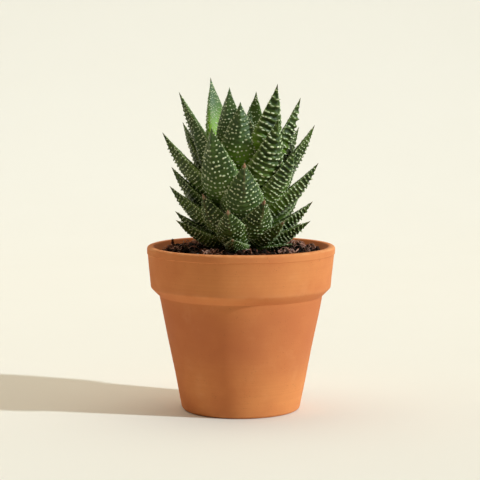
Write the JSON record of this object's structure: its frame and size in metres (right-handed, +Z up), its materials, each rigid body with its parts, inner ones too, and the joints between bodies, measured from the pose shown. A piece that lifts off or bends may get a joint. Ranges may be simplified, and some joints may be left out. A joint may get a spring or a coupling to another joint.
{
  "type": "potted haworthia",
  "caption": "Small rosette succulent with thick pointed leaves on a short stem, planted in soil in a rimmed round clay pot.",
  "frame": {"origin": "middle of the pot's foot, on the surface that the pot stands on", "axes": "+Z up along the pot's axis; -Y is the plant's front, +X its right-hand side seen from the front"},
  "size_m": [0.108, 0.108, 0.1907],
  "materials": {
    "terracotta": "unglazed matt clay",
    "potting_soil": "loose crumbly peat and bark mix",
    "stem": "short fleshy rootstock",
    "leaf": "satin green leaf with pale raised pearls",
    "bark": "rough dark bark"
  },
  "bodies": {
    "root": {"pot": "terracotta", "soil": "potting_soil", "stem": "stem", "leaf_01": "leaf", "leaf_02": "leaf", "leaf_03": "leaf", "leaf_04": "leaf", "leaf_05": "leaf", "leaf_06": "leaf", "leaf_07": "leaf", "leaf_08": "leaf", "leaf_09": "leaf", "leaf_10": "leaf", "leaf_11": "leaf", "leaf_12": "leaf", "leaf_13": "leaf", "leaf_14": "leaf", "leaf_15": "leaf", "leaf_16": "leaf", "leaf_17": "leaf", "leaf_18": "leaf", "leaf_19": "leaf", "leaf_20": "leaf", "leaf_21": "leaf", "leaf_22": "leaf", "leaf_23": "leaf", "leaf_24": "leaf", "leaf_25": "leaf", "leaf_26": "leaf", "leaf_27": "leaf", "leaf_28": "leaf", "leaf_29": "leaf", "leaf_30": "leaf", "leaf_31": "leaf", "leaf_32": "leaf", "leaf_33": "leaf", "leaf_34": "leaf", "leaf_35": "leaf", "leaf_36": "leaf", "leaf_37": "leaf", "leaf_38": "leaf", "leaf_39": "leaf", "leaf_40": "leaf", "leaf_41": "leaf", "leaf_42": "leaf", "leaf_43": "leaf", "leaf_44": "leaf", "leaf_45": "leaf", "leaf_46": "leaf", "leaf_47": "leaf", "leaf_48": "leaf", "bark_chip_left": "bark", "bark_chip_right": "bark", "bark_chip_back": "bark"}
  },
  "joints": []
}
